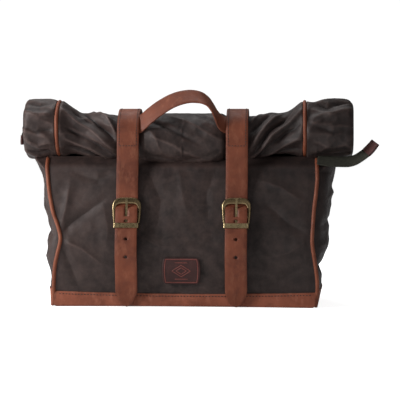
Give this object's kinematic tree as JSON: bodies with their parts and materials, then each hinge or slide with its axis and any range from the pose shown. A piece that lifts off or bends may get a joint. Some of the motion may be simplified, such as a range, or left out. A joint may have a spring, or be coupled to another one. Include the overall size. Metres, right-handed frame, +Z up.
{
  "type": "roll-top motorcycle saddlebag",
  "caption": "Roll-top motorcycle saddlebag of waxed canvas on a leather base, closed by buckled leather straps, with a leather carrying handle on top.",
  "frame": {"origin": "middle of the base, on the surface that the bag stands on", "axes": "+X to the bag's right as seen from the front, +Y to the back that faces the motorcycle, +Z up"},
  "size_m": [0.505, 0.1612, 0.3066],
  "materials": {
    "canvas": "waxed",
    "lining": "plain weave",
    "board": "matte",
    "webbing": "ribbed",
    "tip_leather": "waxed",
    "piping_leather": "smooth",
    "patch_leather": "embossed",
    "base_leather": "pull-up",
    "antique_brass": "antiqued",
    "strap_leather": "pull-up"
  },
  "bodies": {
    "root": {"back_board": "board", "back_left_piping": "piping_leather", "back_panel": "canvas", "back_reinforcement": "strap_leather", "back_right_piping": "piping_leather", "base_board": "board", "front_left_piping": "piping_leather", "front_panel": "canvas", "front_right_piping": "piping_leather", "leather_base": "base_leather", "leather_patch": "patch_leather", "left_chape": "strap_leather", "left_gusset": "canvas", "left_gusset_base": "base_leather", "left_handle_tab": "strap_leather", "left_roll_piping": "piping_leather", "left_strap": "strap_leather", "left_strap_underlay": "strap_leather", "lining": "lining", "mount_eyelets": "antique_brass", "mouth_webbing": "webbing", "right_chape": "strap_leather", "right_gusset": "canvas", "right_gusset_base": "base_leather", "right_handle_tab": "strap_leather", "right_roll_piping": "piping_leather", "right_strap": "strap_leather", "right_strap_underlay": "strap_leather", "right_webbing": "webbing", "roll_top": "canvas"},
    "left_tail": {"left_strap_tail": "strap_leather"},
    "left_keeper": {"left_keeper": "antique_brass"},
    "left_buckle": {"left_buckle_frame": "antique_brass"},
    "left_tongue": {"left_buckle_tongue": "antique_brass"},
    "left_tab": {"left_webbing_tab": "webbing", "left_tab_tip": "tip_leather"},
    "right_tail": {"right_strap_tail": "strap_leather"},
    "right_keeper": {"right_keeper": "antique_brass"},
    "right_buckle": {"right_buckle_frame": "antique_brass"},
    "right_tongue": {"right_buckle_tongue": "antique_brass"},
    "right_tab": {"right_webbing_tab": "webbing", "right_tab_tip": "tip_leather"},
    "handle": {"handle": "strap_leather"}
  },
  "joints": [
    {"name": "handle_swing", "type": "hinge", "parent": "root", "child": "handle", "pos_m": [0, -0.05225, 0.2579], "axis": [1, 0, 0], "range_deg": [-35, 38]},
    {"name": "left_tail_lift", "type": "hinge", "parent": "root", "child": "left_tail", "pos_m": [-0.077, -0.08507, 0.1049], "axis": [-1, 0, 0], "range_deg": [0, 70]},
    {"name": "left_keeper_slide", "type": "slide", "parent": "root", "child": "left_keeper", "axis": [0, -0.1961, -0.9806], "range_m": [0, 0.005]},
    {"name": "left_buckle_swing", "type": "hinge", "parent": "root", "child": "left_buckle", "pos_m": [-0.077, -0.07498, 0.12068], "axis": [1, 0, 0], "range_deg": [0, 2.5]},
    {"name": "left_tongue_swing", "type": "hinge", "parent": "left_buckle", "child": "left_tongue", "pos_m": [-0.077, -0.07498, 0.12068], "axis": [1, 0, 0], "range_deg": [0, 2]},
    {"name": "right_tail_lift", "type": "hinge", "parent": "root", "child": "right_tail", "pos_m": [0.077, -0.08507, 0.1049], "axis": [-1, 0, 0], "range_deg": [0, 70]},
    {"name": "right_keeper_slide", "type": "slide", "parent": "root", "child": "right_keeper", "axis": [0, -0.1961, -0.9806], "range_m": [0, 0.005]},
    {"name": "right_buckle_swing", "type": "hinge", "parent": "root", "child": "right_buckle", "pos_m": [0.077, -0.07498, 0.12068], "axis": [1, 0, 0], "range_deg": [0, 2.5]},
    {"name": "right_tongue_swing", "type": "hinge", "parent": "right_buckle", "child": "right_tongue", "pos_m": [0.077, -0.07498, 0.12068], "axis": [1, 0, 0], "range_deg": [0, 2]},
    {"name": "left_tab_swing", "type": "hinge", "parent": "root", "child": "left_tab", "pos_m": [-0.2305, -0.016, 0.251], "axis": [0, 0.7141, 0.7001], "range_deg": [0, 75]},
    {"name": "right_tab_swing", "type": "hinge", "parent": "root", "child": "right_tab", "pos_m": [0.224, -0.04, 0.204], "axis": [0, 0.7141, 0.7001], "range_deg": [-20, 50]}
  ]
}
